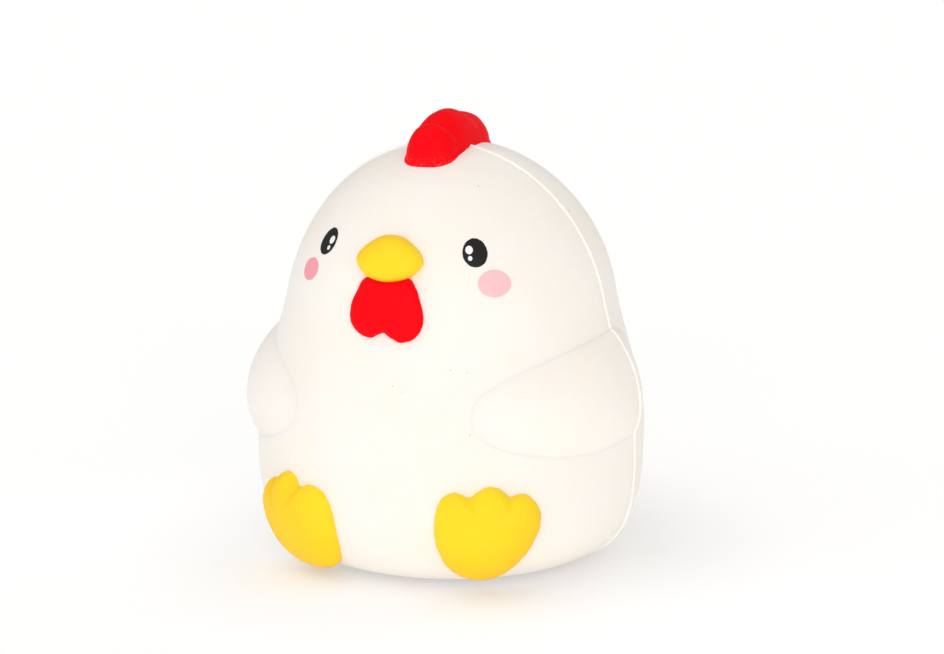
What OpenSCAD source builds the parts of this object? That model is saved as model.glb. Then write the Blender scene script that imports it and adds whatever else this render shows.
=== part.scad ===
// A slow-rise foam squeeze toy in the shape of a round, sitting chicken.
// Millimetres, +Z up. The chicken faces -Y and its left side is +X.
// The origin is on the floor, at the centre of the flat base.

/* [Body] */
// Height of the body from the floor to the top of the head, without the comb
body_h = 107; // [100:0.5:114]
// Width of the body across the belly, without the wings
body_w = 103.8; // [98:0.1:112]
// Width of the egg that forms the head
head_w = 89; // [84:0.5:94]
// Depth of the body as a share of its width
depth_ratio = 0.89; // [0.84:0.01:1]
// Width of the flat face that it sits on
base_w = 44.8; // [36:0.1:56]
// How far the top of the head leans back
head_lean = 6.5; // [0:0.5:8]
// Squareness of the lower edge, where 2 is an ellipse
base_curve = 3; // [2.2:0.1:3.6]

/* [Skin and seam] */
// Thickness of the dense skin that forms against the mould
skin_t = 1.5; // [1:0.1:2.5]
// Y of the plane where the two halves of the mould met
parting_y = 1.5; // [0:0.1:3]
// Height of the thin flash that stands along the mould seam
flash_h = 0.5; // [0.3:0.05:0.9]
// Thickness of the flash
flash_t = 0.6; // [0.4:0.05:1]

/* [Comb] */
// Thickness of the comb across the head
comb_t = 14.4; // [12:0.1:15]
// Rise of the front lobe over the head
comb_front_rise = 8.8; // [6:0.1:11]
// Rise of the middle lobe over the head
comb_middle_rise = 8.1; // [6:0.1:11]
// Rise of the rear lobe over the head
comb_rear_rise = 7.1; // [6:0.1:11]

/* [Face] */
// Height of the middle of the beak
beak_z = 82.1; // [79:0.1:85]
// Width of the beak
beak_w = 17; // [14:0.1:20]
// Height of the beak along the face
beak_h = 10.4; // [8:0.1:13]
// How far the beak stands out
beak_out = 6; // [3:0.1:8]
// Height of the wattle's upper edge, just under the beak
wattle_z = 77.2; // [75:0.1:77.4]
// How far the wattle stands out
wattle_out = 2.4; // [1:0.1:4]
// Angle of each eye from straight ahead
eye_angle = 31.5; // [28:0.5:34]
// Angle by which the right eye stands further out than the left one
right_eye_shift = 1.5; // [0:0.5:3]
// Height of the middle of the eyes
eye_z = 84; // [82:0.5:86]
// Width of an eye
eye_w = 6.6; // [5:0.1:7]
// Angle of each cheek from straight ahead
cheek_angle = 37.8; // [36:0.1:42]
// Height of the middle of the cheeks
cheek_z = 76.8; // [75:0.1:77]
// Width of a cheek
cheek_w = 8.6; // [7:0.1:10]

/* [Wings and feet] */
// Most that a wing stands out from the body
wing_out = 4.6; // [3:0.1:6]
// Half of the wing's full height
wing_half_h = 13; // [10:0.1:14]
// How much lower the right wing sits than the left one
right_wing_drop = 2.6; // [0:0.1:3]
// Angle of the wing tips from straight ahead
wing_tip_angle = 30; // [26:0.5:36]
// Angle of the left foot from straight ahead
left_foot_angle = 33.5; // [32:0.5:38]
// Angle of the right foot, which sits nearer the middle
right_foot_angle = 29; // [27:0.5:34]
// Most that a foot stands out from the body
foot_out = 5; // [3:0.1:6]

/* [Hidden] */

cream = [0.98, 0.95, 0.90];
foam_white = [0.99, 0.97, 0.93];
red = [0.93, 0.07, 0.10];
yellow = [0.98, 0.86, 0.18];
pink = [0.96, 0.66, 0.72];
black = [0.06, 0.05, 0.05];
white = [1, 1, 1];

belly_r = body_w / 2;
head_r = head_w / 2;
base_r = base_w / 2;
belly_z = 0.305 * body_h;  // height of the widest ring
dome_z = 0.56 * body_h;    // middle of the head's egg
dome_h = body_h - dome_z;
neck_z = dome_z + 9.2;     // where the belly's curve runs into the egg

body_sides = 60;           // facets round the body
corner_steps = 11;
belly_steps = 7;
dome_steps = 11;

body_gap = 0.3;            // between the core and the skins, and across the seam
paint_gap = 0.08;          // between a raised or printed piece and the skin under it
front_edge = parting_y - body_gap / 2;
rear_edge = parting_y + body_gap / 2;

// ---- Body surface -------------------------------------------------------

function lean(z) = head_lean * pow(z / body_h, 0.8);

function dome_r(z) = head_r * sqrt(max(0, 1 - pow((z - dome_z) / dome_h, 2)));

// Slope of the egg where the belly's curve meets it
neck_slope = -head_r * (neck_z - dome_z) / pow(dome_h, 2)
    / sqrt(1 - pow((neck_z - dome_z) / dome_h, 2));

// Smooth curve from the widest ring, where it is upright, to the egg
function flank_r(z) =
    let (span = neck_z - belly_z, t = (z - belly_z) / span)
    belly_r * (2 * pow(t, 3) - 3 * pow(t, 2) + 1)
    + dome_r(neck_z) * (3 * pow(t, 2) - 2 * pow(t, 3))
    + span * neck_slope * (pow(t, 3) - pow(t, 2));

function corner_r(z) =
    base_r + (belly_r - base_r)
    * pow(1 - pow(1 - z / belly_z, base_curve), 1 / base_curve);

// Half width of the body at height z
function body_r(z) = z < belly_z ? corner_r(z) : z < neck_z ? flank_r(z) : dome_r(z);

// Outward direction of the body's profile at height z, as [radial, up]
function wall_normal(z) =
    let (e = 0.05, slope = (body_r(z + e) - body_r(z - e)) / (2 * e))
    [1, -slope] / norm([1, slope]);

// A profile point [r, z] turned to an angle from straight ahead
function ring_point(angle, p) =
    [p[0] * sin(angle), lean(p[1]) - depth_ratio * p[0] * cos(angle), p[1]];

// A point at a height over the body's surface
function on_body(angle, z, out) =
    ring_point(angle, [body_r(z), z] + out * wall_normal(z));

// Angle at which the body's ring at height z crosses a plane of constant y
function angle_at_y(y, z) =
    acos(max(-1, min(1, (lean(z) - y) / (depth_ratio * body_r(z)))));

// Height of the head's surface over a point [x, y]
function head_z(x, y) =
    let (
        rough = dome_h * sqrt(1 - pow(x / head_r, 2)
            - pow((y - head_lean) / (depth_ratio * head_r), 2)),
        offset_y = y - lean(dome_z + rough)
    )
    dome_z + dome_h * sqrt(1 - pow(x / head_r, 2)
        - pow(offset_y / (depth_ratio * head_r), 2));

// Rows of the body's profile, from the base to just under the top
profile = concat(
    [[base_r / 2, 0]],
    [for (i = [0:corner_steps]) let (a = 90 * i / corner_steps)
        [base_r + (belly_r - base_r) * pow(sin(a), 2 / base_curve),
            belly_z * (1 - pow(cos(a), 2 / base_curve))]],
    [for (i = [1:belly_steps]) let (z = belly_z + (neck_z - belly_z) * i / belly_steps)
        [flank_r(z), z]],
    [for (i = [1:dome_steps - 1])
        let (
            start = asin((neck_z - dome_z) / dome_h),
            a = start + (90 - start) * i / dome_steps
        )
        [head_r * cos(a), dome_z + dome_h * sin(a)]]
);

// The same rows moved inwards by a depth
function profile_at(depth) =
    [for (i = [0:len(profile) - 1])
        let (
            before = profile[max(i - 1, 0)],
            after = profile[min(i + 1, len(profile) - 1)],
            along = (after - before) / norm(after - before)
        )
        profile[i] - depth * [along[1], -along[0]]];

function flatten(lists) = [for (l = lists) for (item = l) item];

// Two triangles across four corners, given clockwise
function quad(a, b, c, d) = [[a, b, c], [a, c, d]];

// The body as a closed solid, moved inwards by a depth
module body_solid(depth) {
    rows = profile_at(depth);
    n = len(rows);
    m = body_sides;
    top = n * m + 1;
    points = concat(
        [[0, lean(depth), depth]],
        [for (p = rows) for (j = [0:m - 1]) ring_point(360 * j / m, p)],
        [[0, lean(body_h - depth), body_h - depth]]
    );
    faces = concat(
        [for (j = [0:m - 1]) [0, 1 + j, 1 + (j + 1) % m]],
        flatten([for (i = [0:n - 2]) for (j = [0:m - 1])
            let (a = 1 + i * m, k = (j + 1) % m)
            quad(a + j, a + m + j, a + m + k, a + k)]),
        [for (j = [0:m - 1]) [top, top - m + (j + 1) % m, top - m + j]]
    );
    polyhedron(points, faces);
}

// One half of the shell around the core, as a single mesh
module half_skin(y_from, y_to) {
    room = body_w;
    resize([0, 0, 0])
        difference() {
            intersection() {
                body_solid(0);
                translate([-room, y_from, -room])
                    cube([2 * room, y_to - y_from, 3 * room]);
            }
            body_solid(skin_t);
        }
}

// ---- Raised pads --------------------------------------------------------

// A pad inside an outline of [across, up] points that run anticlockwise.
// place(across, up, out) puts a point on the wall, and rise(share) is the pad's
// height at a share of the way from its middle to its outline.
module pad(outline, place, rise, rings = 6, middle = [0, 0], clear = paint_gap) {
    m = len(outline);
    function at(share, k) = middle + share * (outline[k] - middle);
    function lay(share, k, out) = let (p = at(share, k)) place(p[0], p[1], out);
    points = concat(
        [place(middle[0], middle[1], clear + rise(0))],
        [for (r = [1:rings]) for (k = [0:m - 1]) lay(r / rings, k, clear + rise(r / rings))],
        [for (r = [rings:-1:1]) for (k = [0:m - 1]) lay(r / rings, k, clear)],
        [place(middle[0], middle[1], clear)]
    );
    last = 2 * rings * m + 1;
    faces = concat(
        [for (k = [0:m - 1]) [0, 1 + (k + 1) % m, 1 + k]],
        flatten([for (r = [0:2 * rings - 2]) for (k = [0:m - 1])
            let (a = 1 + r * m, b = (k + 1) % m)
            quad(a + k, a + b, a + m + b, a + m + k)]),
        [for (k = [0:m - 1]) [last, last - m + k, last - m + (k + 1) % m]]
    );
    polyhedron(points, faces);
}

// Points round an ellipse, or a rounder or sharper form of one
function oval(w, h, power = 2, sides = 24) =
    [for (i = [0:sides - 1])
        let (a = 360 * i / sides, c = cos(a), s = sin(a))
        [w / 2 * sign(c) * pow(abs(c), 2 / power), h / 2 * sign(s) * pow(abs(s), 2 / power)]];

// Corners cut twice, so that an outline drawn with few points runs round
function soften(pts, times = 2) =
    times == 0 ? pts : soften([for (i = [0:len(pts) - 1])
        let (a = pts[i], b = pts[(i + 1) % len(pts)])
        each [0.75 * a + 0.25 * b, 0.25 * a + 0.75 * b]], times - 1);

// Degrees round the body for each millimetre along it, at height z
function turn(z) = 180 / (PI * body_r(z));

module face_pad(outline, angle, z, rise, rings = 6, base = 0, middle = [0, 0]) {
    place = function(across, up, out)
        on_body(angle + across * turn(z), z + up, base + out);
    pad(outline, place, rise, rings, middle);
}

// ---- Pieces -------------------------------------------------------------

module foam_core() {
    color(foam_white) body_solid(skin_t + body_gap);
}

module skin_front() {
    color(cream) half_skin(-body_w, front_edge);
}

module skin_rear() {
    color(cream) half_skin(rear_edge, body_w);
}

// Lobes as [middle y, half length, rise over the head]
lobes = [[-3.9, 7.2, comb_front_rise], [3.8, 6.9, comb_middle_rise], [13.6, 6.4, comb_rear_rise]];
lobe_power = 2.4;  // 2 would make each lobe's outline an ellipse, and more makes it squarer
comb_start = lobes[0][0] - lobes[0][1];
comb_end = lobes[2][0] + lobes[2][1];

function comb_rise(y) =
    max([for (l = lobes)
        l[2] * pow(max(0, 1 - pow(abs(y - l[0]) / l[1], lobe_power)), 1 / lobe_power)]);

function comb_half_t(y) =
    let (mid = (comb_start + comb_end) / 2, half = (comb_end - comb_start) / 2)
    comb_t / 2 * pow(max(0, 1 - pow(abs(y - mid) / half, 5)), 1 / 2.4);

// A length of the comb between two values of y
module comb_length(y_from, y_to) {
    stations = 20;
    arch = 16;
    under = 6;
    m = arch + under;
    section_power = 0.95;  // 1 would make the section half an ellipse
    shrink = 0.12;  // how far the stations stay off a rounded end
    y0 = max(y_from, comb_start + shrink);
    y1 = min(y_to, comb_end - shrink);
    function section(y) =
        let (w = comb_half_t(y), rise = comb_rise(y))
        concat(
            [for (i = [0:arch]) let (a = 180 * i / arch,
                    x = w * sign(cos(a)) * pow(abs(cos(a)), section_power))
                [x, y, head_z(x, y) + paint_gap + rise * pow(max(0, sin(a)), section_power)]],
            [for (i = [1:under - 1]) let (x = w * (2 * i / under - 1))
                [x, y, head_z(x, y) + paint_gap]]
        );
    // Stations gather towards both ends, where the comb rounds off
    function station(i) = (y0 + y1) / 2 - (y1 - y0) / 2 * cos(180 * i / stations);
    points = [for (i = [0:stations]) each section(station(i))];
    last = stations * m;
    faces = concat(
        flatten([for (i = [0:stations - 1]) for (k = [0:m - 1])
            let (a = i * m, b = (k + 1) % m)
            quad(a + k, a + m + k, a + m + b, a + b)]),
        [for (k = [1:m - 2]) [0, k, k + 1]],
        [for (k = [1:m - 2]) [last, last + k + 1, last + k]]
    );
    polyhedron(points, faces);
}

module comb_front() {
    color(red) comb_length(comb_start, front_edge);
}

module comb_rear() {
    color(red) comb_length(rear_edge, comb_end);
}

module beak() {
    droop = 0.2;  // how far the beak's tip sinks for each millimetre that it stands out
    place = function(across, up, out)
        on_body(across * turn(beak_z), beak_z + up, out) - [0, 0, droop * (out - paint_gap)];
    rise = function(share) 0.3 + (beak_out - 0.3) * sqrt(1 - pow(share, 4));
    // Right half of the outline, from the bottom to the top, in halves of the width and height
    half = [[0, -1.03], [0.32, -0.97], [0.64, -0.81], [0.94, -0.38], [1.03, -0.08], [0.94, 0.3],
        [0.64, 0.7], [0.28, 1.02]];
    shape = concat(half, [for (i = [len(half) - 1:-1:1]) [-half[i][0], half[i][1]]]);
    outline = [for (p = shape) [p[0] * beak_w / 2, p[1] * beak_h / 2]];
    color(yellow) pad(soften(outline, 1), place, rise, 6);
}

module wattle() {
    // From the notch between the lobes round to it again, with the left lobe first
    outline = [[0.6, -12.6], [2.3, -14], [4.6, -15.1], [7.5, -14.2], [9.5, -12], [10, -8.6],
        [9, -4.8], [7.4, -1.2], [6, 0.6], [2.6, 0], [0, -0.5], [-3, -0.3], [-6.4, 0.2],
        [-7.6, -2.8], [-8.8, -5.8], [-9.2, -9], [-8, -12.2], [-5.4, -13.9], [-2.7, -14.5],
        [-0.8, -13.3]];
    rise = function(share) 0.3 + (wattle_out - 0.3) * pow(1 - pow(share, 3), 0.6);
    color(red) face_pad(soften(outline, 1), 0, wattle_z, rise, 7, 0, [0.3, -7.8]);
}

eye_t = 0.35;

module eye(side, angle) {
    rise = function(share) 0.12 + (eye_t - 0.12) * sqrt(1 - pow(share, 2));
    color(black) face_pad(oval(eye_w, 1.04 * eye_w), side * angle, eye_z, rise, 4);
}

module eye_left() {
    eye(1, eye_angle);
}

module eye_right() {
    eye(-1, eye_angle + right_eye_shift);
}

// Two white dots on the beak's side of an eye
module eye_glints(side, angle) {
    rise = function(share) 0.08 + 0.1 * sqrt(1 - pow(share, 2));
    // Each dot as [towards the beak, up, width]
    dots = [[1.45, 0.55, 1.9], [1.3, -1.35, 1.1]];
    for (d = dots)
        color(white) face_pad(oval(d[2], d[2], 2, 14),
            side * (angle - d[0] * turn(eye_z)), eye_z + d[1], rise, 2, eye_t + paint_gap);
}

module eye_glints_left() {
    eye_glints(1, eye_angle);
}

module eye_glints_right() {
    eye_glints(-1, eye_angle + right_eye_shift);
}

module cheek(side) {
    rise = function(share) 0.12 + 0.1 * sqrt(1 - pow(share, 2));
    color(pink) face_pad(oval(cheek_w, 0.74 * cheek_w), side * cheek_angle, cheek_z, rise, 4);
}

module cheek_left() {
    cheek(1);
}

module cheek_right() {
    cheek(-1);
}

// Height of the middle of the wing, a share of the way from its tip to the seam
function wing_mid_z(share, drop) = 45.4 + 3 * pow(share, 2) - drop;

// Half height of the wing there
function wing_half(share) = wing_half_h * pow(1 - pow(1 - min(1, share / 0.8), 2), 0.6);

// Height of the wing over the body there, on its middle line
function wing_rise(share) = wing_out * pow(sin(90 * min(1, share / 0.55)), 0.8)
    * (1 - 0.28 * pow(max(0, (share - 0.55) / 0.45), 2));

// Share of that height left at a place across the wing, from -1 at its lower edge to 1
function wing_cap(across) = pow(max(0, 1 - pow(across, 2)), 0.75);

// A solid between a lifted surface and the body, over a grid of [angle, z, rise] cells
module wall_cover(cells) {
    n = len(cells);
    m = len(cells[0]);
    all = flatten(cells);
    points = concat(
        [for (c = all) on_body(c[0], c[1], paint_gap + 0.1 + c[2])],
        [for (c = all) on_body(c[0], c[1], paint_gap)]
    );
    low = n * m;
    rim = concat(
        [for (j = [0:m - 1]) j],
        [for (i = [1:n - 1]) i * m + m - 1],
        [for (j = [m - 2:-1:0]) (n - 1) * m + j],
        [for (i = [n - 2:-1:1]) i * m]
    );
    faces = concat(
        flatten([for (i = [0:n - 2]) for (j = [0:m - 2])
            let (a = i * m + j)
            concat(
                quad(a, a + 1, a + m + 1, a + m),
                quad(low + a, low + a + m, low + a + m + 1, low + a + 1))]),
        flatten([for (k = [0:len(rim) - 1])
            let (a = rim[k], b = rim[(k + 1) % len(rim)])
            quad(a, low + a, low + b, b)])
    );
    polyhedron(points, faces);
}

wing_cols = 20;
wing_rows = 12;

module wing(drop) {
    cells = [for (i = [0:wing_cols])
        let (share = 0.02 + 0.98 * i / wing_cols)
        [for (j = [0:wing_rows])
            let (
                across = 2 * j / wing_rows - 1,
                z = wing_mid_z(share, drop) + across * wing_half(share),
                end = angle_at_y(front_edge, z)
            )
            [wing_tip_angle + share * (end - wing_tip_angle), z,
                wing_rise(share) * wing_cap(across)]]];
    color(cream) wall_cover(cells);
}

module wing_left() {
    wing(0);
}

module wing_right() {
    mirror([1, 0, 0]) wing(right_wing_drop);
}

// The part of the wing behind the seam, where it fades into the back
module wing_root(drop) {
    fade_angle = 18;
    cells = [for (i = [0:wing_cols / 2])
        let (share = 0.985 * i / (wing_cols / 2))
        [for (j = [0:wing_rows])
            let (
                across = 2 * j / wing_rows - 1,
                z = wing_mid_z(1, drop) + across * wing_half(1) * sqrt(1 - pow(share, 2)),
                start = angle_at_y(rear_edge, z)
            )
            [start + share * fade_angle, z,
                wing_rise(1) * pow(1 - pow(share, 2), 1.5) * wing_cap(across)]]];
    color(cream) wall_cover(cells);
}

module wing_root_left() {
    wing_root(0);
}

module wing_root_right() {
    mirror([1, 0, 0]) wing_root(right_wing_drop);
}

// A foot with three toes at its upper edge, from an outline of [outwards, height] points
module foot(outline, angle, middle_z) {
    local = [for (i = [len(outline) - 1:-1:0]) outline[i] - [0, middle_z]];
    rise = function(share) 0.3 + (foot_out - 0.3) * pow(1 - pow(share, 3), 0.6);
    color(yellow) face_pad(soften(local, 1), angle, middle_z, rise, 8);
}

module foot_left() {
    outline = [[-13.6, 19.6], [-12.6, 24.4], [-10.4, 27.4], [-7.4, 27.7], [-5, 25.8],
        [-3.4, 27.2], [-0.2, 29.2], [3.4, 28], [5.2, 25.6], [7.4, 26.6], [10, 26.4],
        [12.8, 23.4], [14, 19.4], [12.2, 13.4], [8.2, 7.8], [3, 4.6], [-2.8, 4.4],
        [-9, 6.6], [-13, 12.6]];
    foot(outline, left_foot_angle, 17);
}

// The right foot sits lower than the left one, and has a wider inner toe
module foot_right() {
    outline = [[-9.6, 3.8], [-13, 5.8], [-14.6, 9], [-14.8, 13.6], [-14.6, 18], [-13.4, 22],
        [-11.6, 24.4], [-8.2, 25.5], [-4.8, 24.8], [-3.2, 23.4], [-2.6, 25.4], [-0.8, 27],
        [1.8, 27.1], [4.4, 25.8], [5.8, 23.4], [6.8, 22.8], [8, 24], [9.8, 23.4],
        [12.2, 20.8], [13, 17.6], [11.8, 12.6], [8.6, 7.2], [3.6, 3.8], [-3, 3]];
    mirror([1, 0, 0]) foot(outline, right_foot_angle, 14);
}

// Rise of the surface along the seam, which the wing lifts
function seam_rise(z, drop) =
    let (across = (z - wing_mid_z(1, drop)) / wing_half(1))
    abs(across) < 1 ? wing_rise(1) * wing_cap(across) + 0.1 : 0;

// The fin of flash on each side, from near the floor up to the comb
module seam_flash_side(drop) {
    lowest = 1.6;
    highest = head_z(comb_t / 2 + 0.2, parting_y) - 0.4;
    steps = 60;
    lift = 0.25;  // clear of the facets of the skin and the wing root
    fin_y = [rear_edge + 0.05, rear_edge + 0.05 + flash_t];
    // Heights gather towards both ends, where the seam turns towards level
    function height(i) = (lowest + highest) / 2 - (highest - lowest) / 2 * cos(180 * i / steps);
    function section(z) = [for (c = [[0, 0], [1, 0], [1, 1], [0, 1]])
        let (y = fin_y[c[0]], out = lift + seam_rise(z, drop) + c[1] * flash_h)
        let (p = on_body(angle_at_y(y, z), z, out))
        [p[0], y, p[2]]];
    points = [for (i = [0:steps]) each section(height(i))];
    last = 4 * steps;
    faces = concat(
        flatten([for (i = [0:steps - 1]) for (k = [0:3])
            let (a = 4 * i, b = (k + 1) % 4)
            quad(a + k, a + b, a + 4 + b, a + 4 + k)]),
        [[0, 3, 2], [0, 2, 1]],
        [[last, last + 1, last + 2], [last, last + 2, last + 3]]
    );
    polyhedron(points, faces);
}

module seam_flash() {
    color(cream) {
        seam_flash_side(0);
        mirror([1, 0, 0]) seam_flash_side(right_wing_drop);
    }
}

foam_core();
skin_front();
skin_rear();
seam_flash();
comb_front();
comb_rear();
beak();
wattle();
eye_left();
eye_right();
eye_glints_left();
eye_glints_right();
cheek_left();
cheek_right();
wing_left();
wing_right();
wing_root_left();
wing_root_right();
foot_left();
foot_right();
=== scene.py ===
"""Looks of a slow-rise foam squeeze chicken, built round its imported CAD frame."""

import math
from functools import cache

import bmesh
import bpy
import numpy as np
from bpy.props import FloatProperty, FloatVectorProperty, IntProperty, PointerProperty
from mathutils import Matrix, Vector, noise


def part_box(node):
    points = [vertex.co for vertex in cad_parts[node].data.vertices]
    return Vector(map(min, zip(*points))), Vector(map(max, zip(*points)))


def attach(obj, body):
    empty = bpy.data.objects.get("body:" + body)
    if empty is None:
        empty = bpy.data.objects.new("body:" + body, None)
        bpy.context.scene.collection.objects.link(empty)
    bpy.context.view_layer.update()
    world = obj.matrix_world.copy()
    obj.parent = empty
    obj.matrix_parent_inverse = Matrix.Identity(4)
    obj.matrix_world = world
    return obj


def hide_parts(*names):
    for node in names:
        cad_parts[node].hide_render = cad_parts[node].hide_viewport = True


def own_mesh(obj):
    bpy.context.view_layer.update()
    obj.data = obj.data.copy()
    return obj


bl_info = {
    "name": "Foam squeeze chicken",
    "version": (1, 0, 0),
    "blender": (4, 5, 0),
    "location": "View3D > Sidebar > Foam chicken",
    "description": "Builds the foam skins, painted features and stage of a squeeze toy",
    "category": "Add Mesh",
}

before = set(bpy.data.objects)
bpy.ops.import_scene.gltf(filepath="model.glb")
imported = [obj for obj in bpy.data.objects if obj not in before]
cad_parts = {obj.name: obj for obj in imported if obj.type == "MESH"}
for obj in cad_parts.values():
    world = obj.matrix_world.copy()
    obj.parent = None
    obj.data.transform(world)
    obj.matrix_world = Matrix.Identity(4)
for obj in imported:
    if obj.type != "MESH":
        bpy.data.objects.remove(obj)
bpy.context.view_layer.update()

MM = 0.001
FRONT = "front"
REAR = "rear"


def cad_box_mm(*nodes):
    """Lowest and highest corners, in millimetres, of some CAD nodes together."""
    boxes = [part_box(node) for node in nodes]
    low = np.min([np.array(box[0]) for box in boxes], axis=0) / MM
    high = np.max([np.array(box[1]) for box in boxes], axis=0) / MM
    return low, high


SKIN_LOW, SKIN_HIGH = cad_box_mm("skin_front", "skin_rear")
# The halves meet in the middle of the gap between the CAD halves
SEAM_Y = (cad_box_mm("skin_front")[1][1] + cad_box_mm("skin_rear")[0][1]) / 2


# ---- Settings -----------------------------------------------------------


def millimetres(name, description, default, low, high):
    """A length property."""
    return FloatProperty(name=name, description=description, default=default, min=low, max=high)


class ChickenSizes(bpy.types.PropertyGroup):
    """Sizes, in millimetres, that the CAD boxes don't give."""

    head_width: millimetres(
        "Head width", "Width of the egg that forms the head", 89.0, 80.0, 95.0)
    base_width: millimetres(
        "Base width", "Width of the flat face that it sits on", 44.8, 30.0, 60.0)
    head_lean: millimetres(
        "Head lean", "How far the top of the head leans back", 6.5, 0.0, 10.0)
    skin_thickness: millimetres(
        "Skin thickness", "Thickness of the dense outer skin", 1.5, 0.5, 3.0)
    seam_step: millimetres(
        "Seam step", "How far the front half stands over the rear half", 0.5, 0.0, 1.0)
    unevenness: millimetres(
        "Unevenness", "Depth of the soft hollows that cured foam has", 0.16, 0.0, 0.5)
    wing_out: millimetres(
        "Wing relief", "Most that a wing stands out from the body", 4.6, 2.0, 6.0)
    foot_out: millimetres(
        "Foot relief", "Most that a foot stands out from the body", 5.0, 2.0, 6.0)
    beak_out: millimetres("Beak relief", "How far the beak stands out", 6.0, 2.0, 8.0)
    wattle_out: millimetres("Wattle relief", "How far the wattle stands out", 2.4, 1.0, 4.0)
    comb_thickness: millimetres(
        "Comb thickness", "Thickness of the comb at its base", 14.4, 10.0, 15.0)
    flash_width: millimetres(
        "Flash width", "Width of the ridge of flash along the seam", 0.85, 0.2, 1.2)
    pinhole_width: millimetres(
        "Pinhole width", "Width of the pinholes in the skin", 0.32, 0.1, 1.0)
    pinhole_seed: IntProperty(
        name="Pinhole seed", description="Seed for where the pinholes fall", default=7)


def colour(name, description, default):
    """A colour property."""
    return FloatVectorProperty(
        name=name, description=description, subtype="COLOR", size=4,
        min=0.0, max=1.0, default=(*default, 1.0))


class ChickenColours(bpy.types.PropertyGroup):
    """Colours of the skin and the paints."""

    cream: colour("Cream skin", "Skin of the body", (0.93, 0.88, 0.825))
    foam: colour("Foam", "Foam inside the skin", (0.9, 0.85, 0.74))
    red: colour("Red paint", "Comb and wattle", (0.92, 0.003, 0.008))
    yellow: colour("Yellow paint", "Beak and feet", (0.98, 0.69, 0.02))
    # Painted shade: the darker amber laid where the beak and feet turn from the light.
    shaded_yellow: colour("Thick yellow paint", "Where the yellow lies thick", (0.97, 0.42, 0.015))
    pink: colour("Cheek ink", "Printed left cheek", (0.93, 0.56, 0.57))
    deep_pink: colour("Deep cheek ink", "Right cheek, printed more strongly", (0.94, 0.37, 0.42))
    black: colour("Eye ink", "Printed eyes", (0.014, 0.011, 0.011))
    white: colour("White ink", "Printed dots in the eyes", (0.9, 0.9, 0.92))


# ---- The body's surface, in millimetres ---------------------------------

BELLY_SHARE = 0.305   # height of the widest ring, as a share of the body's
DOME_SHARE = 0.56     # height of the middle of the head's egg
NECK_RISE = 9.2       # from there up to where the belly's curve meets the egg
BASE_CURVE = 3.2      # squareness of the lower edge
LEAN_POWER = 0.8


class Body:
    """The smooth body that every piece lies on."""

    def __init__(self, sizes):
        self.height = SKIN_HIGH[2]
        self.belly_r = (SKIN_HIGH[0] - SKIN_LOW[0]) / 2
        self.depth = 0.89
        self.head_r = sizes.head_width / 2
        self.base_r = sizes.base_width / 2
        self.lean_back = sizes.head_lean
        self.belly_z = BELLY_SHARE * self.height
        self.dome_z = DOME_SHARE * self.height
        self.dome_h = self.height - self.dome_z
        self.neck_z = self.dome_z + NECK_RISE
        ratio = NECK_RISE / self.dome_h
        self.neck_slope = -self.head_r * ratio / self.dome_h / math.sqrt(1 - ratio ** 2)

    def lean(self, z):
        return self.lean_back * (np.clip(z, 0, None) / self.height) ** LEAN_POWER

    def dome_r(self, z):
        return self.head_r * np.sqrt(np.clip(1 - ((z - self.dome_z) / self.dome_h) ** 2, 0, 1))

    def flank_r(self, z):
        span = self.neck_z - self.belly_z
        t = (z - self.belly_z) / span
        return (self.belly_r * (2 * t ** 3 - 3 * t ** 2 + 1)
                + self.dome_r(self.neck_z) * (3 * t ** 2 - 2 * t ** 3)
                + span * self.neck_slope * (t ** 3 - t ** 2))

    def corner_r(self, z):
        up = np.clip(1 - z / self.belly_z, 0, 1) ** BASE_CURVE
        return self.base_r + (self.belly_r - self.base_r) * (1 - up) ** (1 / BASE_CURVE)

    def radius(self, z):
        """Half width of the body at height z."""
        z = np.asarray(z, float)
        return np.where(z < self.belly_z, self.corner_r(z),
                        np.where(z < self.neck_z, self.flank_r(z), self.dome_r(z)))

    def ring(self, angle, r, z):
        """Points at a radius and height, turned by an angle in degrees from straight ahead."""
        a = np.radians(angle)
        return np.stack([r * np.sin(a), self.lean(z) - self.depth * r * np.cos(a),
                         z + 0 * a], axis=-1)

    def over(self, angle, z, out):
        """Points at a height out from the surface."""
        step = 0.05
        z = np.asarray(z, float)
        slope = (self.radius(z + step) - self.radius(z - step)) / (2 * step)
        length = np.hypot(1, slope)
        return self.ring(angle, self.radius(z) + out / length, z - out * slope / length)

    def angle_at_y(self, y, z):
        """Angle at which the ring at height z crosses a plane of constant y."""
        share = (self.lean(z) - y) / (self.depth * self.radius(z))
        return np.degrees(np.arccos(np.clip(share, -1, 1)))

    def head_z(self, x, y):
        """Height of the head's surface over x, y."""
        flat = (x / self.head_r) ** 2
        top = self.dome_h * np.sqrt(
            1 - flat - ((y - self.lean_back) / (self.depth * self.head_r)) ** 2)
        back = self.lean(self.dome_z + top)
        return self.dome_z + self.dome_h * np.sqrt(
            1 - flat - ((y - back) / (self.depth * self.head_r)) ** 2)

    def turn(self, z):
        """Degrees round the body for each millimetre along it."""
        return np.degrees(1 / self.radius(z))


def soften(points, times):
    """Cuts an outline's corners, so that one drawn with few points runs round."""
    points = np.asarray(points, float)
    for _ in range(times):
        after = np.roll(points, -1, axis=0)
        points = np.stack([0.75 * points + 0.25 * after,
                           0.25 * points + 0.75 * after], axis=1).reshape(-1, 2)
    return points


def mirrored_outline(half):
    """A closed outline, anticlockwise, from its right half drawn from the bottom to the top."""
    half = np.asarray(half, float)
    left = half[::-1] * [-1, 1]
    keep = np.abs(left[:, 0]) > 1e-6
    return np.concatenate([half, left[keep]])


def unevenness(points, scale, seed):
    """Smooth random values from -1 to 1 at points in millimetres."""
    offset = Vector((seed * 17.3, seed * 5.1, seed * 9.7))
    return np.array([noise.noise(Vector(p) / scale + offset) for p in points.reshape(-1, 3)]
                    ).reshape(points.shape[:-1])


# ---- Meshes and pieces --------------------------------------------------


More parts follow.
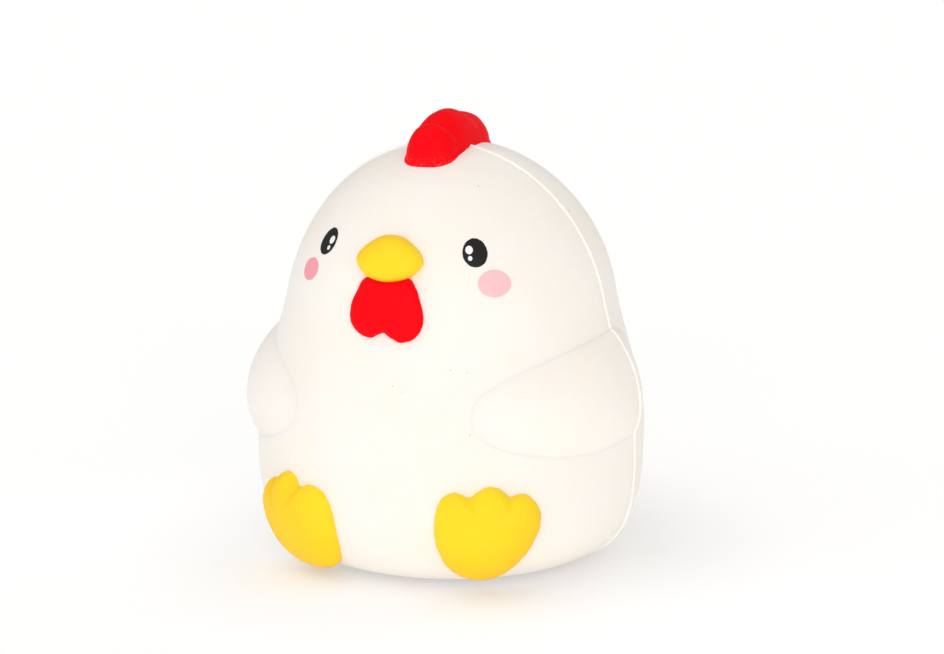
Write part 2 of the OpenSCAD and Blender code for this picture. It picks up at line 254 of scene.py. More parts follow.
def mesh_object(name, points, faces, sharp_degrees=50):
    """A closed mesh from points in millimetres, with its faces turned outwards."""
    mesh = bpy.data.meshes.new(name)
    mesh.from_pydata((np.asarray(points).reshape(-1, 3) * MM).tolist(), [], faces)
    shape = bmesh.new()
    shape.from_mesh(mesh)
    bmesh.ops.remove_doubles(shape, verts=shape.verts, dist=1e-7)
    bmesh.ops.dissolve_degenerate(shape, edges=shape.edges, dist=1e-8)
    bmesh.ops.recalc_face_normals(shape, faces=shape.faces)
    shape.to_mesh(mesh)
    shape.free()
    return linked(name, mesh, sharp_degrees)


def placed(name, data):
    """A new object in the scene."""
    made = bpy.data.objects.new(name, data)
    bpy.context.scene.collection.objects.link(made)
    return made


def linked(name, mesh, sharp_degrees=50):
    """An object for a mesh, smooth but for its sharp edges."""
    mesh.shade_smooth()
    mesh.set_sharp_from_angle(angle=math.radians(sharp_degrees))
    return placed(name, mesh)


def grid_faces(rows, cols, start=0, flip=False):
    """Quads over a grid of points, row by row."""
    faces = []
    for i in range(rows - 1):
        for j in range(cols - 1):
            a = start + i * cols + j
            quad = (a, a + 1, a + cols + 1, a + cols)
            faces.append(quad[::-1] if flip else quad)
    return faces


def rim_loop(rows, cols):
    """Point numbers round the edge of a grid."""
    loop = list(range(cols))
    loop += [i * cols + cols - 1 for i in range(1, rows)]
    loop += [(rows - 1) * cols + j for j in range(cols - 2, -1, -1)]
    loop += [i * cols for i in range(rows - 2, 0, -1)]
    return loop


def slab(name, top, under, sharp_degrees=50):
    """A closed solid between two grids of points of the same shape."""
    rows, cols = top.shape[:2]
    count = rows * cols
    loop = rim_loop(rows, cols)
    faces = grid_faces(rows, cols) + grid_faces(rows, cols, count, flip=True)
    for k, a in enumerate(loop):
        b = loop[(k + 1) % len(loop)]
        faces.append((b, a, a + count, b + count))
    return mesh_object(name, np.concatenate([top.reshape(-1, 3), under.reshape(-1, 3)]),
                       faces, sharp_degrees)


def pad(name, outline, middle, place, rise, rings, sink, painted_shade=None):
    """A closed pad inside an outline. place(across, up, out) gives points on the wall, and
    rise(across, up, share) the height at a share of the way from the middle to the edge.
    The last function, given (across, up, share), says how much painted shade lies there, from 0 to
    1."""
    outline = np.asarray(outline, float)
    middle = np.asarray(middle, float)
    # Rings gather towards the edge, where the pad rounds over
    shares = np.sin(np.linspace(0, math.pi / 2, rings + 1))[1:]
    spots = middle + shares[:, None, None] * (outline - middle)
    share_grid = np.repeat(shares[:, None], len(outline), axis=1)
    top = place(spots[..., 0], spots[..., 1], rise(spots[..., 0], spots[..., 1], share_grid))
    edge_low = place(outline[:, 0], outline[:, 1], np.full(len(outline), -sink))
    centre = place(middle[0], middle[1], rise(middle[0], middle[1], 0.0))
    centre_low = place(middle[0], middle[1], -sink)
    m = len(outline)
    points = np.concatenate([centre[None], top.reshape(-1, 3), edge_low, centre_low[None]])
    last = len(points) - 1
    faces = []
    for k in range(m):
        after = (k + 1) % m
        faces.append((0, 1 + k, 1 + after))
        for r in range(rings):
            a = 1 + r * m
            faces.append((a + k, a + m + k, a + m + after, a + after))
        faces.append((last, last - m + after, last - m + k))
    piece = mesh_object(name, points, faces, 60)
    # Painted shade: the share of darker colour at each point, stored for the paint to read.
    if painted_shade is not None:
        deep = painted_shade(spots[..., 0], spots[..., 1], share_grid)
        low = deep[-1]
        store(piece, "painted_shade", np.concatenate([[deep[0].mean()], deep.reshape(-1), low, [0]]))
    return piece


def store(piece, name, values):
    """Stores a value at each point, for a material to read."""
    if len(values) != len(piece.data.vertices):
        raise ValueError(f"{piece.name}: {len(values)} values for its points")
    attribute = piece.data.attributes.new(name, "FLOAT", "POINT")
    attribute.data.foreach_set("value", np.asarray(values, np.float32))


def jittered(outline, amount, scale, seed):
    """An outline with small irregular shifts, as a brushed or sprayed edge has."""
    spots = np.concatenate([outline, np.zeros((len(outline), 1))], axis=1)
    across = unevenness(spots, scale, seed)
    up = unevenness(spots, scale, seed + 3)
    return outline + amount * np.stack([across, up], axis=1)


def finish_piece(piece, body, material, nodes=()):
    """Gives a piece its material, its body and the CAD nodes it stands for."""
    if material is not None:
        piece.data.materials.clear()
        piece.data.materials.append(material)
    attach(piece, body)
    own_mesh(piece)
    if nodes:
        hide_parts(*nodes)
    return piece


# ---- Shader groups ------------------------------------------------------


class Tree:
    """Short calls for building a node tree."""

    def __init__(self, tree):
        self.tree = tree

    def add(self, kind, inputs=None, **settings):
        """A node with its settings, and its inputs as plain values or as other sockets."""
        made = self.tree.nodes.new(kind)
        for key, value in settings.items():
            setattr(made, key, value)
        for key, value in (inputs or {}).items():
            if isinstance(value, bpy.types.NodeSocket):
                self.link(value, made.inputs[key])
            else:
                made.inputs[key].default_value = value
        return made

    def link(self, source, target):
        self.tree.links.new(source, target)

    def math(self, operation, a, b, clamp=False):
        return self.add("ShaderNodeMath", {0: a, 1: b},
                        operation=operation, use_clamp=clamp).outputs[0]

    def mix_colour(self, mask, first, second):
        return self.add("ShaderNodeMix", {0: mask, 6: first, 7: second},
                        data_type="RGBA").outputs[2]

    def ramp(self, source, low, high):
        return self.add("ShaderNodeMapRange",
                        {"Value": source, "From Min": low, "From Max": high},
                        interpolation_type="SMOOTHSTEP").outputs[0]


def ends(group):
    """A node group with its Tree, its input node and its output node."""
    tree = Tree(group)
    return group, tree, tree.add("NodeGroupInput"), tree.add("NodeGroupOutput")


def new_group(name, inputs, outputs):
    """A shader node group with float inputs and outputs."""
    group = bpy.data.node_groups.new(name, "ShaderNodeTree")
    for label, default in inputs:
        socket = group.interface.new_socket(label, in_out="INPUT", socket_type="NodeSocketFloat")
        socket.default_value = default
    for label in outputs:
        group.interface.new_socket(label, in_out="OUTPUT", socket_type="NodeSocketFloat")
    return ends(group)


@cache
def moulded_grain_group():
    """Fine skin grain and soft, broad mottling, as two values."""
    group, tree, given, result = new_group(
        "Moulded grain",
        [("Grain scale", 1500.0), ("Mottle scale", 60.0)],
        ["Grain", "Mottle"])
    place = tree.add("ShaderNodeTexCoord").outputs["Object"]
    for output, detail in (("Grain", 3.0), ("Mottle", 4.0)):
        texture = tree.add("ShaderNodeTexNoise", {
            "Vector": place, "Scale": given.outputs[output + " scale"], "Detail": detail})
        tree.link(texture.outputs["Fac"], result.inputs[output])
    return group


@cache
def foam_pores_group():
    """Scattered pores: 1 in a pore, 0 on the skin between them."""
    group, tree, given, result = new_group(
        "Foam pores",
        [("Pore scale", 160.0), ("Pore size", 0.05), ("Share of cells", 0.2)],
        ["Pores"])
    place = tree.add("ShaderNodeTexCoord").outputs["Object"]
    cells = tree.add("ShaderNodeTexVoronoi",
                     {"Vector": place, "Scale": given.outputs["Pore scale"]})
    split = tree.add("ShaderNodeSeparateColor", {0: cells.outputs["Color"]})
    chosen = tree.math("LESS_THAN", split.outputs[0], given.outputs["Share of cells"])
    near = tree.math("DIVIDE", cells.outputs["Distance"], given.outputs["Pore size"])
    inside = tree.math("SUBTRACT", 1.0, near, clamp=True)
    tree.link(tree.math("MULTIPLY", inside, chosen), result.inputs["Pores"])
    return group


def add_grain(tree, grain_scale=1500.0, mottle_scale=60.0):
    """Grain and mottling of a material, as two sockets."""
    made = tree.add("ShaderNodeGroup", node_tree=moulded_grain_group())
    made.inputs["Grain scale"].default_value = grain_scale
    made.inputs["Mottle scale"].default_value = mottle_scale
    return made.outputs["Grain"], made.outputs["Mottle"]


def add_pores(tree, scale, size, share):
    """Pores of a material, as a mask."""
    made = tree.add("ShaderNodeGroup", node_tree=foam_pores_group())
    made.inputs["Pore scale"].default_value = scale
    made.inputs["Pore size"].default_value = size
    made.inputs["Share of cells"].default_value = share
    return made.outputs["Pores"]


def new_material(name, roughness, specular=0.2, subsurface=0.0):
    """A material, its Tree and its Principled shader."""
    material = bpy.data.materials.new(name)
    material.use_nodes = True
    shader = material.node_tree.nodes["Principled BSDF"]
    for key, value in {"Roughness": roughness, "Specular IOR Level": specular,
                       "Subsurface Weight": subsurface, "Subsurface Scale": 0.002,
                       "Subsurface Radius": (1.0, 0.7, 0.45)}.items():
        shader.inputs[key].default_value = value
    return material, Tree(material.node_tree), shader


def add_bump(tree, shader, height, strength, distance):
    """Feeds a height to the shader's normal."""
    bump = tree.add("ShaderNodeBump",
                    {"Strength": strength, "Distance": distance, "Height": height})
    tree.link(bump.outputs["Normal"], shader.inputs["Normal"])


def varied_roughness(tree, shader, mask, low, high):
    """Roughness that follows a mask."""
    scaled = tree.math("MULTIPLY", mask, high - low)
    tree.link(tree.math("ADD", scaled, low), shader.inputs["Roughness"])


def colours():
    """The colour settings."""
    return bpy.context.scene.chicken_colours


def shade(rgba, factor):
    """A colour made lighter or darker."""
    return tuple(min(1.0, c * factor) for c in rgba[:3]) + (1.0,)


@cache
def cream_skin(name="Cream foam skin", highlight_factor=1.0):
    """Satin skin of cured foam: faint warm mottling, fine grain and small pores darkened with
    painted shade.
    """
    material, tree, shader = new_material(name, 0.55, subsurface=0.25)
    # A factor over 1 makes a lighter copy of the cream, a painted highlight.
    cream = shade(colours().cream, highlight_factor)
    warmer = (cream[0], cream[1] * 0.985, cream[2] * 0.955, 1.0)
    grain, mottle = add_grain(tree)
    pores = add_pores(tree, 140.0, 0.035, 0.08)
    base = tree.mix_colour(tree.ramp(mottle, 0.35, 0.7), cream, warmer)
    # Painted shade darkens each pore.
    base = tree.mix_colour(pores, base, shade(cream, 0.55))
    tree.link(base, shader.inputs["Base Color"])
    varied_roughness(tree, shader, mottle, 0.46, 0.62)
    height = tree.math("SUBTRACT", grain, tree.math("MULTIPLY", pores, 3.0))
    add_bump(tree, shader, height, 0.25, 0.0001)
    return material


def cut_foam():
    """Open cells of the foam inside the skin, darkened in each cell with painted shade."""
    material, tree, shader = new_material("Open cell foam", 0.9, subsurface=0.3)
    foam = tuple(colours().foam)
    cells = add_pores(tree, 900.0, 0.5, 0.9)
    mottle = add_grain(tree, mottle_scale=90.0)[1]
    # Painted shade darkens each open cell.
    base = tree.mix_colour(cells, foam, shade(foam, 0.7))
    base = tree.mix_colour(mottle, base, shade(foam, 0.95))
    tree.link(base, shader.inputs["Base Color"])
    add_bump(tree, shader, tree.math("SUBTRACT", 1.0, cells), 0.8, 0.0004)
    return material


def flexible_paint(name, main, deep, missing, specular):
    """Sprayed paint on foam, with a faint orange peel, darker with painted shade where a piece
    stores it and in its pinholes, and with misses near its edge."""
    roughness = 0.45
    material, tree, shader = new_material(name, roughness, specular, 0.08)
    grain, mottle = add_grain(tree, 900.0, 120.0)
    specks = add_grain(tree, 2800.0)[0]
    pores = add_pores(tree, 260.0, 0.05, 0.06)
    edge = tree.add("ShaderNodeAttribute", attribute_name="paint_edge")
    missed = tree.math("MULTIPLY", tree.ramp(specks, 0.58, 0.64), edge.outputs["Fac"])
    # Painted shade: the stored share mixes in the darker colour.
    painted_shade = tree.add("ShaderNodeAttribute", attribute_name="painted_shade")
    base = tree.mix_colour(tree.ramp(mottle, 0.4, 0.75), tuple(main), shade(main, 0.96))
    base = tree.mix_colour(missed, base, tuple(missing))
    base = tree.mix_colour(painted_shade.outputs["Fac"], base, tuple(deep))
    # Painted shade darkens each pinhole in the paint.
    base = tree.mix_colour(pores, base, shade(main, 0.5))
    tree.link(base, shader.inputs["Base Color"])
    varied_roughness(tree, shader, mottle, roughness - 0.06, roughness + 0.08)
    add_bump(tree, shader, tree.math("SUBTRACT", grain, pores), 0.25, 0.00015)
    return material


@cache
def red_paint():
    red = colours().red
    # The darker red is the colour for painted shade.
    return flexible_paint("Red foam paint", red, shade(red, 0.8), (0.95, 0.12, 0.12, 1.0), 0.03)


@cache
def yellow_paint():
    yellow = colours().yellow
    return flexible_paint("Yellow foam paint", yellow, colours().shaded_yellow, yellow, 0.12)


def printed_ink(name, main, speck_share, roughness):
    """Pad-printed ink, with a few specks where it has missed the foam."""
    material, tree, shader = new_material(name, roughness)
    grain, mottle = add_grain(tree, 2600.0, 400.0)
    missed = tree.ramp(grain, 1.0 - speck_share, 1.04 - speck_share)
    base = tree.mix_colour(mottle, tuple(main), shade(main, 0.93))
    base = tree.mix_colour(missed, base, shade(main, 1.8))
    tree.link(base, shader.inputs["Base Color"])
    varied_roughness(tree, shader, mottle, roughness, roughness + 0.1)
    add_bump(tree, shader, grain, 0.15, 0.00005)
    return material


@cache
def dark_pore():
    """Shadowed inside of a pinhole."""
    material, tree, shader = new_material("Pinhole shadow", 0.9)
    mottle = add_grain(tree, mottle_scale=900.0)[1]
    base = tree.mix_colour(mottle, (0.42, 0.34, 0.26, 1.0), (0.6, 0.51, 0.41, 1.0))
    tree.link(base, shader.inputs["Base Color"])
    return material


# ---- Skins and core -----------------------------------------------------

SEAM_BLEND = 7.0      # distance from the seam over which the step fades, mm
CAP_RADIUS = 13.0     # the last ring under the comb, above which the rows run to the seam


def half_rows(body):
    """Rows of the body's profile as radius and height, without the flat base and the cap."""
    turns = np.radians(np.linspace(0, 90, 30))
    corner_r = body.base_r + (body.belly_r - body.base_r) * np.sin(turns) ** (2 / BASE_CURVE)
    corner_z = body.belly_z * (1 - np.cos(turns) ** (2 / BASE_CURVE))
    flank_z = np.linspace(body.belly_z, body.neck_z, 34)[1:]
    start = math.asin(NECK_RISE / body.dome_h)
    end = math.acos(CAP_RADIUS / body.head_r)
    lift = np.linspace(start, end, 40)[1:]
    return (np.concatenate([corner_r, body.flank_r(flank_z), body.head_r * np.cos(lift)]),
            np.concatenate([corner_z, flank_z, body.dome_z + body.dome_h * np.sin(lift)]))


def half_surface(body, front, columns=128):
    """Grid of points over one half of the body, from the seam on one side to the other."""
    r, z = half_rows(body)
    end = body.angle_at_y(SEAM_Y, z)
    spread = np.sin(np.linspace(-math.pi / 2, math.pi / 2, columns + 1))
    angle = end[:, None] * spread if front else 180 + (180 - end[:, None]) * spread
    sides = body.ring(angle, r[:, None], z[:, None])
    inwards = np.linspace(0, 1, 9)
    hub = np.array([0, SEAM_Y, 0])
    base = hub + inwards[:-1, None, None] * (sides[0] - hub)
    cap = hub + inwards[-2::-1, None, None] * (sides[-1] - hub)
    cap[..., 2] = body.head_z(cap[..., 0], cap[..., 1])
    return np.concatenate([base, sides, cap])


def grid_normals(points):
    """Unit normals of a grid of points, facing away from the body's middle."""
    normals = np.cross(np.gradient(points, axis=1), np.gradient(points, axis=0))
    length = np.linalg.norm(normals, axis=-1, keepdims=True)
    middle = np.array([0, SEAM_Y, SKIN_HIGH[2] / 2])
    outwards = points - middle
    normals = np.where(length > 1e-6, normals / np.maximum(length, 1e-6), 0)
    facing = np.sign(np.sum(normals * outwards, axis=-1, keepdims=True))
    normals = normals * facing
    weak = length[..., 0] <= 1e-6
    normals[weak] = outwards[weak] / np.linalg.norm(outwards[weak], axis=-1, keepdims=True)
    return normals


def seam_offset(points, sizes, front):
    """How far the mismatch of the mould lifts or lowers a half's surface near the seam."""
    away = np.abs(points[..., 1] - SEAM_Y)
    fade = np.exp(-(away / SEAM_BLEND) ** 2)
    lifted = np.clip(points[..., 2] / 4, 0, 1)  # nothing near the floor
    return 0.5 * sizes.seam_step * fade * (1 if front else -1) * lifted


def skin_shell(name, body, sizes, front):
    """One half of the skin as a closed shell."""
    outer = half_surface(body, front)
    at_seam = np.abs(outer[..., 1] - SEAM_Y) < 1e-3
    normals = grid_normals(outer)
    resting = np.clip(outer[..., 2] / 3, 0, 1)
    lift = seam_offset(outer, sizes, front)
    lift = lift + sizes.unevenness * unevenness(outer, 24.0, 2) * resting
    inner = outer - sizes.skin_thickness * normals
    outer = outer + lift[..., None] * normals
    for grid in (inner, outer):
        grid[..., 1] = (np.minimum if front else np.maximum)(grid[..., 1], SEAM_Y)
        grid[..., 1] = np.where(at_seam, SEAM_Y, grid[..., 1])
    outer[..., 2] = np.maximum(outer[..., 2], 0)
    return slab(name, outer, inner)


def foam_core_mesh(body, sizes):
    """The foam inside both skins, as one closed body."""
    depth = sizes.skin_thickness + 0.35
    r, z = half_rows(body)
    angles = np.linspace(0, 360, 97)[:-1]
    rows = body.over(angles[None, :], np.maximum(z, 0.02)[:, None], -depth)
    rows[..., 2] = np.maximum(rows[..., 2], depth)
    low = np.array([0, 0, depth])
    top = np.array([0, body.lean_back, body.height - depth])
    count, cols = rows.shape[:2]
    points = np.concatenate([low[None], rows.reshape(-1, 3), top[None]])
    last = len(points) - 1
    faces = []
    for j in range(cols):
        k = (j + 1) % cols
        faces.append((0, 1 + k, 1 + j))
        faces.append((last, last - cols + j, last - cols + k))
        for i in range(count - 1):
            a = 1 + i * cols
            faces.append((a + j, a + k, a + cols + k, a + cols + j))
    return mesh_object("foam_core_piece", points, faces)


# ---- Wings --------------------------------------------------------------

WING_TIP_ANGLE = 30.0
WING_HALF_HEIGHT = 13.0
WING_FADE_ANGLE = 18.0
TIP_LENGTH = 0.8      # share of the wing's length over which its tip widens
TIP_POWER = 1.8       # and how round the tip is
TIP_CREASE = 0.8      # softness of the crease round a wing at its tip, mm
SEAM_CREASE = 0.4     # and at the seam
CREASE_SINK = 0.12    # how far the soft edge dips under the skin at its end, mm
OVERRUN = 1.3         # the soft edge runs this far past the wing's outline
RIGHT_WING_DROP = cad_box_mm("wing_left")[0][2] - cad_box_mm("wing_right")[0][2]


def wing_mid_z(share, side):
    return 45.4 + 3 * share ** 2 - (RIGHT_WING_DROP if side < 0 else 0)


def wing_cap(inside, share):
    """Share of the relief left at a place in a wing. inside is 1 in its middle and 0 at its
    edge, and the tip's edge is the softer one."""
    power = 0.75 + 0.2 * (1 - np.clip(share, 0, 1))
    return np.clip(inside, 0, 1) ** power


def wing_rise(share, wing_out):
    """Relief along a wing's middle, lower towards the seam."""
    return wing_out * (1 - 0.28 * np.maximum(0, (share - 0.55) / 0.45) ** 2)


def soft_relief(height, beyond, share):
    """A relief whose edge runs out softly into the wall. beyond is how far past it is."""
    crease = SEAM_CREASE + (TIP_CREASE - SEAM_CREASE) * (1 - np.clip(share / 0.7, 0, 1)) ** 1.5
    signed = height - (0.7 + 0.5 * np.clip(share, 0, 1)) * beyond
    return (signed + np.sqrt(signed ** 2 + crease ** 2)) / 2 - crease * CREASE_SINK - 0.06


def wing_grid(body, sizes, side, root):
    """Angle, height and relief over a wing, or over its root behind the seam."""
    along = np.linspace(0.0, 1.0, 60 if not root else 34)[:, None]
    across = np.linspace(-OVERRUN, OVERRUN, 81)[None, :]
    if root:
        share = np.sin(along * math.pi / 2)
        half = WING_HALF_HEIGHT * (0.35 + 0.65 * np.sqrt(np.clip(1 - share ** 2, 0, 1)))
        z = wing_mid_z(1.0, side) + across * half
        start = body.angle_at_y(SEAM_Y, z)
        angle = start + share * WING_FADE_ANGLE
        cap = wing_cap(1 - across ** 2, 1.0)
        height = wing_rise(1.0, sizes.wing_out) * (1 - share ** 2) ** 1.5 * cap
        beyond = np.maximum(0, np.abs(across) - 1) * half
        share = 1 + 0 * share
    else:
        share = -0.18 + 1.18 * along
        ahead = np.maximum(0, 1 - share / TIP_LENGTH)
        inside = 1 - across ** 2 - ahead ** TIP_POWER
        share = np.clip(share, 0, 1)
        z = wing_mid_z(share, side) + across * WING_HALF_HEIGHT
        end = body.angle_at_y(SEAM_Y, z)
        angle = WING_TIP_ANGLE + (1.18 * along - 0.18) * (end - WING_TIP_ANGLE)
        height = wing_rise(share, sizes.wing_out) * wing_cap(inside, share)
        steepness = np.hypot(2 * across / WING_HALF_HEIGHT, 0.045 * ahead)
        beyond = np.maximum(0, -inside) / np.maximum(steepness, 0.02)
    return angle, z + 0 * angle, soft_relief(height, beyond, share)


def wing_piece(name, body, sizes, side, root):
    """One wing in front of the seam, or its root behind it."""
    angle, z, relief = wing_grid(body, sizes, side, root)
    wall = body.over(angle, z, np.zeros_like(relief)) * [side, 1, 1]
    lift = seam_offset(wall, sizes, not root)
    lift = lift + sizes.unevenness * unevenness(wall, 24.0, 2)
    top = body.over(angle, z, relief + lift)
    under = body.over(angle, z, np.full_like(relief, -0.8))
    for grid in (top, under):
        edge = grid[0] if root else grid[-1]
        edge[:, 1] = SEAM_Y
        grid[..., 0] *= side
    return slab(name, top, under)


# ---- Features -----------------------------------------------------------


def face_place(body, angle, z0, side=1):
    """A place function for pads at an angle and height on the body."""
    def place(across, up, out):
        z = z0 + np.asarray(up, float)
        turned = angle + np.asarray(across, float) * body.turn(z0)
        return body.over(turned, z, np.asarray(out, float)) * [side, 1, 1]
    return place


def oval(width, height, points):
    """Points round an ellipse."""
    a = np.linspace(0, 2 * math.pi, points, endpoint=False)
    return np.stack([width / 2 * np.cos(a), height / 2 * np.sin(a)], axis=1)


def print_rise(thickness):
    """A rise function for a thin print, which rounds off at its edge."""
    return lambda across, up, share: thickness * (1 - share ** 6) + 0.02 + 0 * up


def node_middle(body, node):
    """Angle from straight ahead and height of the middle of a CAD node on the face."""
    low, high = cad_box_mm(node)
    x, y, z = (low + high) / 2
    return math.degrees(math.atan2(abs(x), -(y - body.lean(z)) / body.depth)), z


# ---- Operators ----------------------------------------------------------


class ChickenOperator(bpy.types.Operator):
    """Shared ways of the operators that build the toy."""

    bl_idname = "foam_chicken.base"
    bl_label = "Base"
    bl_options = {"REGISTER"}

    def execute(self, context):
        sizes = context.scene.chicken_sizes
        self.build(Body(sizes), sizes)
        return {"FINISHED"}


class FOAM_CHICKEN_OT_skins(ChickenOperator):
    """Build the front and rear halves of the skin"""

    bl_idname = "foam_chicken.skins"
    bl_label = "Skins"

    def build(self, body, sizes):
        for holder in (FRONT, REAR):
            piece = skin_shell(f"{holder}_skin", body, sizes, holder == FRONT)
            finish_piece(piece, holder, cream_skin(), [f"skin_{holder}"])


class FOAM_CHICKEN_OT_core(ChickenOperator):
    """Build the foam core inside the skins"""

    bl_idname = "foam_chicken.core"
    bl_label = "Foam core"

    def build(self, body, sizes):
        finish_piece(foam_core_mesh(body, sizes), REAR, cut_foam(), ["foam_core"])


class FOAM_CHICKEN_OT_wings(ChickenOperator):
    """Build both wings and their roots behind the seam"""

    bl_idname = "foam_chicken.wings"
    bl_label = "Wings"

    def build(self, body, sizes):
        for label, side in (("left", 1), ("right", -1)):
            wing = wing_piece(f"{label}_wing", body, sizes, side, root=False)
            finish_piece(wing, FRONT, cream_skin(), [f"wing_{label}"])
            root = wing_piece(f"{label}_wing_root", body, sizes, side, root=True)
            finish_piece(root, REAR, cream_skin(), [f"wing_root_{label}"])


class FOAM_CHICKEN_OT_beak(ChickenOperator):
    """Build the beak"""

    bl_idname = "foam_chicken.beak"
    bl_label = "Beak"

    # Right half, from the bottom to the top, in halves of the beak's width and height
    half = [(0, -1.03), (0.32, -0.97), (0.64, -0.81), (0.94, -0.38), (1.03, -0.08), (0.94, 0.3),
            (0.64, 0.7), (0.28, 1.02)]
    half_width = 8.5
    half_height = 5.2
    middle_z = 82.1
    droop = 0.2

    def build(self, body, sizes):
        outline = soften(mirrored_outline(self.half), 4) * [self.half_width, self.half_height]
        flat = face_place(body, 0, self.middle_z)

        def place(across, up, out):
            return flat(across, up, out) - np.multiply.outer(np.maximum(out, 0), [0, 0, self.droop])

        def rise(across, up, share):
            return 0.2 + (sizes.beak_out - 0.2) * (1 - share ** 4) ** 0.5

        # Painted shade over the beak's upper left, the side turned from the light.
        def painted_shade(across, up, share):
            lean = 0.55 * up / self.half_height - 0.5 * across / self.half_width
            return 0.45 * np.clip(lean, 0, 1) ** 0.8

        piece = pad("beak_piece", outline, (0, 0), place, rise, 32, 0.8, painted_shade)
        finish_piece(piece, FRONT, yellow_paint(), ["beak"])


class FOAM_CHICKEN_OT_wattle(ChickenOperator):
    """Build the wattle under the beak"""

    bl_idname = "foam_chicken.wattle"
    bl_label = "Wattle"

    # From the notch between the lobes round to it again, with the left lobe first
    outline = [(0.6, -12.6), (2.3, -14), (4.6, -15.1), (7.5, -14.2), (9.5, -12), (10, -8.6),
               (9, -4.8), (7.4, -1.2), (6, 0.6), (2.6, 0), (0, -0.5), (-3, -0.3), (-6.4, 0.2),
               (-7.6, -2.8), (-8.8, -5.8), (-9.2, -9), (-8, -12.2), (-5.4, -13.9), (-2.7, -14.5),
               (-0.8, -13.3)]
    middle = (0.3, -7.8)
    top_z = 77.6

    def build(self, body, sizes):
        outline = jittered(soften(self.outline, 4), 0.14, 1.5, 5)

        def rise(across, up, share):
            return 0.15 + (sizes.wattle_out - 0.15) * (1 - share ** 5) ** 0.5

        piece = pad("wattle_piece", outline, self.middle, face_place(body, 0, self.top_z),
                    rise, 26, 0.8)
        finish_piece(piece, FRONT, red_paint(), ["wattle"])


class FOAM_CHICKEN_OT_eyes(ChickenOperator):
    """Build the printed eyes and the white dots in them"""

    bl_idname = "foam_chicken.eyes"
    bl_label = "Eyes"

    width = 6.6
    thickness = 0.14
    # Each dot as: towards the beak, up, width
    dots = [(1.45, 0.55, 1.9), (1.3, -1.35, 1.1)]

    def build(self, body, sizes):
        ink = printed_ink("Black eye ink", colours().black, 0.3, 0.4)
        paper = printed_ink("White eye ink", colours().white, 0.0, 0.4)
        for label, side in (("left", 1), ("right", -1)):
            angle, z = node_middle(body, f"eye_{label}")
            place = face_place(body, angle, z, side)
            outline = jittered(oval(self.width, self.width * 1.04, 96), 0.06, 0.8, 11 + side)
            eye = pad(f"{label}_eye", outline, (0, 0), place, print_rise(self.thickness), 14, 0.3)
            finish_piece(eye, FRONT, ink, [f"eye_{label}"])
            glints = [self.glint(place, dot) for dot in self.dots]
            joined = join(f"{label}_eye_glints", glints)
            finish_piece(joined, FRONT, paper, [f"eye_glints_{label}"])

    def glint(self, place, dot):
        inwards, up, width = dot
        outline = oval(width, width, 40) + [-inwards, up]
        return pad("glint", outline, (-inwards, up), place,
                   lambda across, up, share: self.thickness + 0.05 + 0.03 * (1 - share ** 4)
                   + 0 * up, 5, 0.1)


def join(name, parts):
    """One object from several, which are removed."""
    shape = bmesh.new()
    for part in parts:
        shape.from_mesh(part.data)
        bpy.data.objects.remove(part)
    mesh = bpy.data.meshes.new(name)
    shape.to_mesh(mesh)
    shape.free()
    return linked(name, mesh)


class FOAM_CHICKEN_OT_cheeks(ChickenOperator):
    """Build the printed cheeks"""

    bl_idname = "foam_chicken.cheeks"
    bl_label = "Cheeks"

    width = 8.6
    thickness = 0.09

    def build(self, body, sizes):
        inks = {"left": ("Pink cheek ink", colours().pink),
                "right": ("Deep pink cheek ink", colours().deep_pink)}
        for label, side in (("left", 1), ("right", -1)):
            ink = printed_ink(*inks[label], 0.24, 0.55)
            angle, z = node_middle(body, f"cheek_{label}")
            outline = jittered(oval(self.width, self.width * 0.74, 96), 0.05, 1.0, 21 + side)
            cheek = pad(f"{label}_cheek", outline, (0, 0), face_place(body, angle, z, side),
                        print_rise(self.thickness), 14, 0.3)
            finish_piece(cheek, FRONT, ink, [f"cheek_{label}"])


